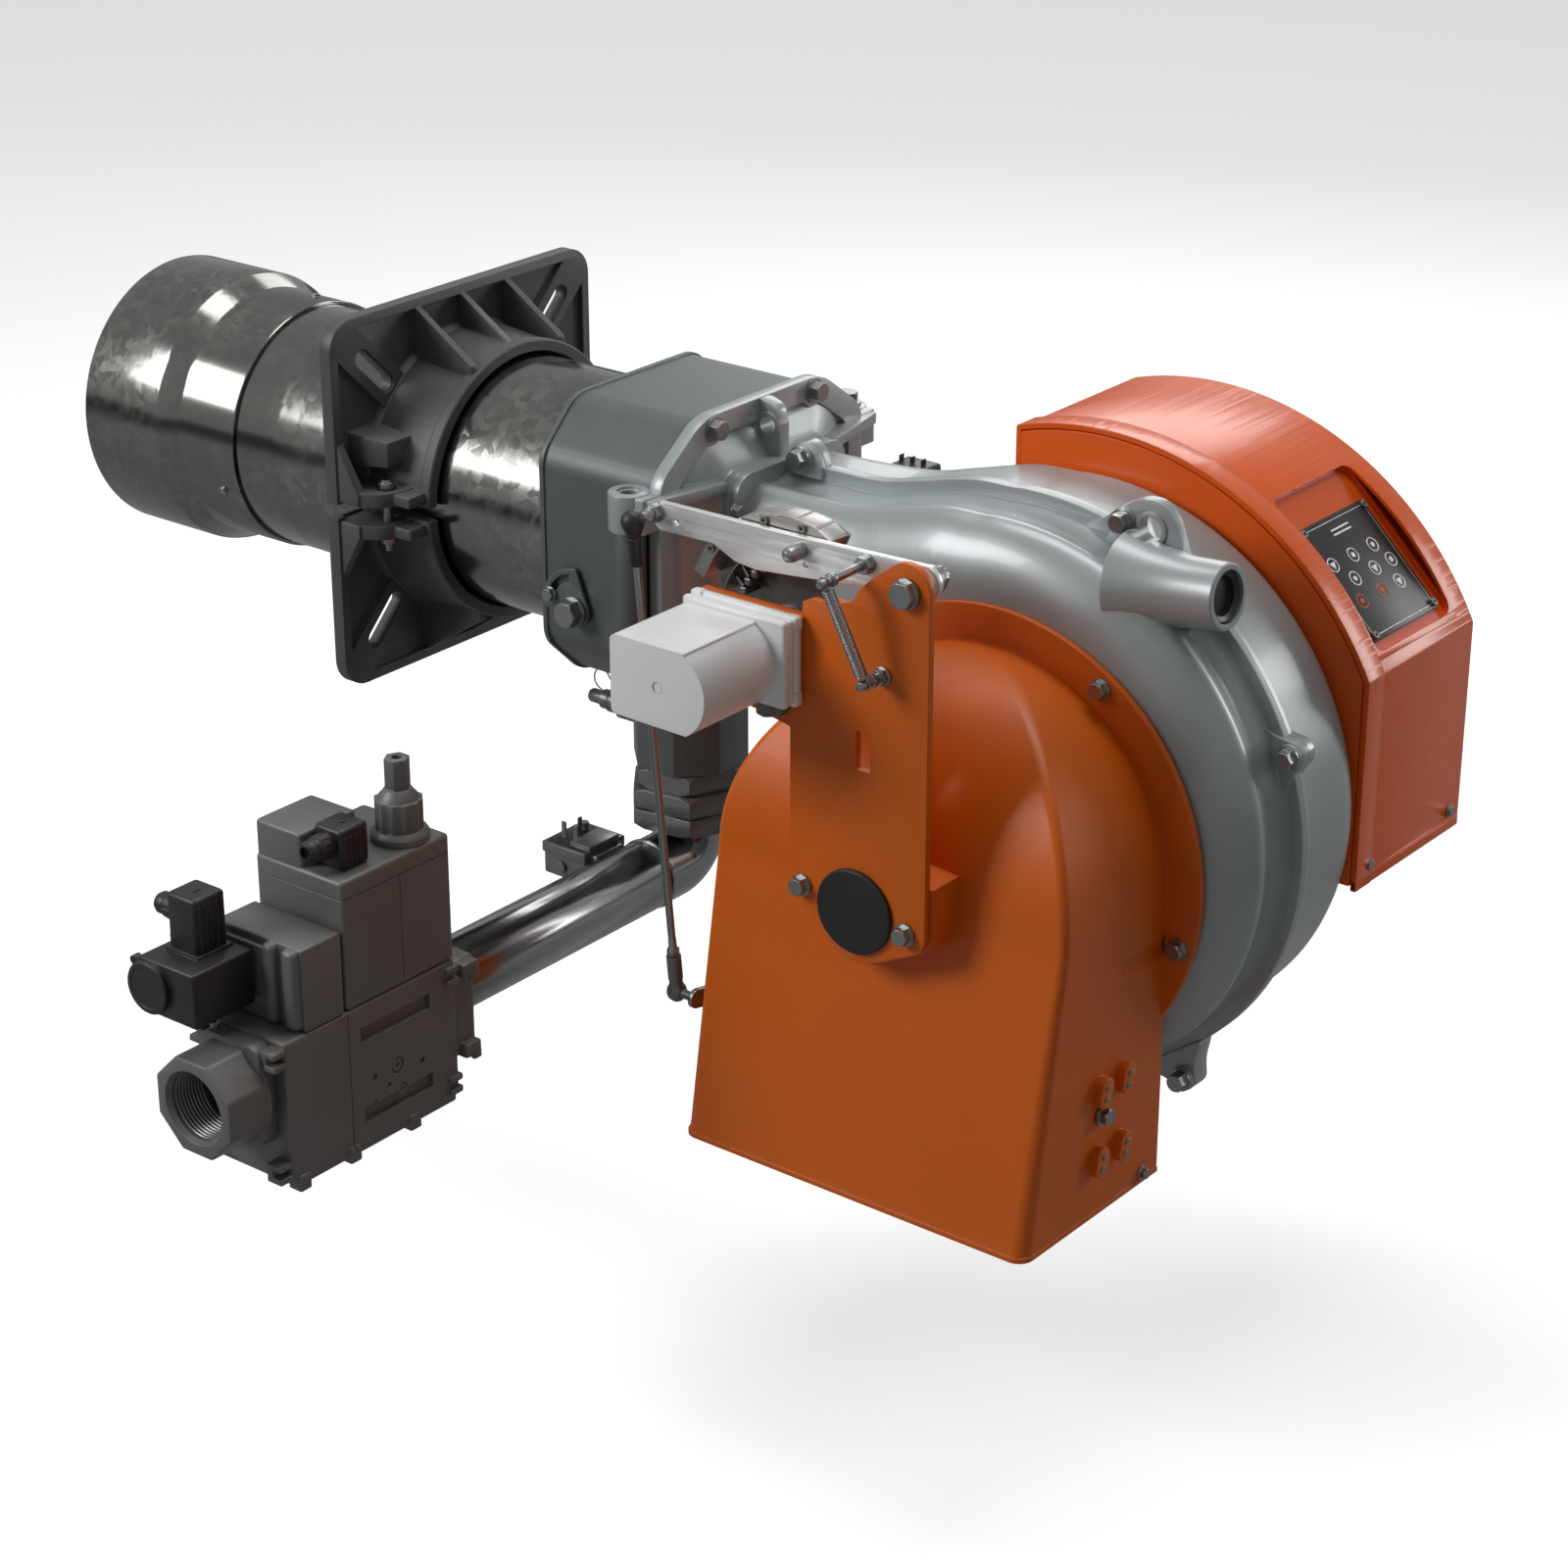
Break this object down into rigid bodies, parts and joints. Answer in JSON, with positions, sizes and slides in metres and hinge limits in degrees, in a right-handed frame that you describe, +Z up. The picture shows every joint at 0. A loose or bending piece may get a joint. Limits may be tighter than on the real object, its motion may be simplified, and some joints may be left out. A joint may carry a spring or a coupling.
{
  "type": "gas burner",
  "caption": "Forced-draught gas burner: blast tube with sliding flange, swing-out fan scroll, hood with air damper, cam linkage and gas valve train.",
  "frame": {"origin": "on the blast tube's axis, in the boiler side of the mounting flange", "axes": "-X is the firing direction, +Z is up, +Y runs from the air intake hood towards the motor"},
  "size_m": [1.1931, 0.914, 0.549],
  "materials": {
    "black_plastic": "satin",
    "brass": "satin",
    "bright_steel": "polished",
    "brushed_steel": "satin",
    "cast_aluminium": "satin",
    "ceramic": "satin",
    "dark_steel": "satin",
    "flange_grey": "satin",
    "galvanised": "satin",
    "housing_grey": "satin",
    "orange_gloss": "gloss",
    "orange_paint": "satin",
    "pipe_steel": "polished",
    "valve_grey": "satin",
    "white_plastic": "satin",
    "zinc_plate": "satin"
  },
  "bodies": {
    "flange": {"mounting_flange": "flange_grey", "clamp_bolt": "bright_steel"},
    "head": {"blast_tube": "galvanised", "flame_tube": "galvanised", "head_housing": "housing_grey", "hinge_pin": "bright_steel", "union_nut_upper": "dark_steel", "union_nut_lower": "dark_steel", "gas_elbow": "pipe_steel", "gas_pipe": "pipe_steel", "test_nipple_upper": "brass", "test_nipple_lower": "brass", "gas_pressure_switch": "dark_steel", "valve_outlet_flange": "valve_grey", "valve_body": "valve_grey", "valve_inlet_flange": "valve_grey", "main_coil": "valve_grey", "front_coil": "valve_grey", "pressure_regulator": "valve_grey", "main_coil_plug": "dark_steel", "air_gas_ratio_switch": "dark_steel", "front_coil_plug": "dark_steel", "gas_manifold": "cast_aluminium", "adjuster_lock_screw": "bright_steel"},
    "head_adjuster": {"index_plate": "housing_grey", "adjuster_spindle": "bright_steel"},
    "combustion_head": {"gas_lance": "brushed_steel", "diffuser_disc": "brushed_steel", "ignition_electrode": "ceramic", "flame_probe": "ceramic"},
    "burner_body": {"transition_casting": "cast_aluminium", "scroll_near_half": "cast_aluminium", "scroll_far_half": "cast_aluminium", "sight_glass": "black_plastic", "motor": "housing_grey", "control_base": "dark_steel", "control_cover": "orange_gloss", "display_panel": "black_plastic", "air_pressure_switch": "black_plastic", "intake_hood": "orange_paint", "linkage_bracket": "orange_paint", "bracket_cap": "black_plastic", "lever_pivot_bolt": "bright_steel", "spring_foot_post": "bright_steel", "servo_base": "white_plastic", "servo_cover": "white_plastic", "lever_spring": "bright_steel"},
    "fan": {"fan_wheel": "dark_steel", "motor_shaft": "bright_steel"},
    "cam": {"cam_disc": "dark_steel", "cam_band": "brushed_steel", "cam_leaf": "bright_steel"},
    "lever": {"control_lever": "zinc_plate", "cam_follower": "bright_steel"},
    "rod": {"upper_ball_joint": "black_plastic", "link_rod": "bright_steel", "lower_ball_joint": "dark_steel"},
    "damper": {"damper_shaft": "bright_steel", "damper_arm": "bright_steel", "damper_blade": "galvanised"}
  },
  "joints": [
    {"name": "flange_slide", "type": "slide", "parent": "flange", "child": "head", "axis": [1, 0, 0], "range_m": [-0.118, 0.16]},
    {"name": "head_adjustment", "type": "hinge", "parent": "head", "child": "head_adjuster", "pos_m": [0.238, -0.118, -0.045], "axis": [0, -1, 0], "range_deg": [0, 50]},
    {"name": "combustion_head_slide", "type": "slide", "parent": "head", "child": "combustion_head", "axis": [-1, 0, 0], "range_m": [0, 0.0213]},
    {"name": "body_swing", "type": "hinge", "parent": "head", "child": "burner_body", "pos_m": [0.3135, 0.1395, 0], "axis": [0, 0, 1], "range_deg": [0, 90]},
    {"name": "fan_spin", "type": "hinge", "parent": "burner_body", "child": "fan", "pos_m": [0.621, 0, -0.1545], "axis": [0, 1, 0], "continuous": true},
    {"name": "cam_turn", "type": "hinge", "parent": "burner_body", "child": "cam", "pos_m": [0.524, -0.2, 0.034], "axis": [0, 1, 0], "range_deg": [0, 90]},
    {"name": "lever_turn", "type": "hinge", "parent": "burner_body", "child": "lever", "pos_m": [0.667, -0.235, 0.111], "axis": [0, -1, 0], "range_deg": [0, 12.1], "deforming": ["lever_spring"]},
    {"name": "rod_swing", "type": "hinge", "parent": "lever", "child": "rod", "pos_m": [0.4227, -0.262, 0.111], "axis": [0, 1, 0], "range_deg": [0, 12.8]},
    {"name": "damper_turn", "type": "hinge", "parent": "burner_body", "child": "damper", "pos_m": [0.46, -0.16, -0.304], "axis": [1, 0, 0], "range_deg": [0, 51.7]}
  ],
  "couplings": [
    {"joint": "head_adjustment", "follows": "combustion_head_slide", "rad_per_m": 40.816},
    {"joint": "lever_turn", "follows": "cam_turn", "ratio": 0.13333},
    {"joint": "rod_swing", "follows": "cam_turn", "ratio": 0.14167},
    {"joint": "damper_turn", "follows": "cam_turn", "ratio": 0.57333}
  ]
}
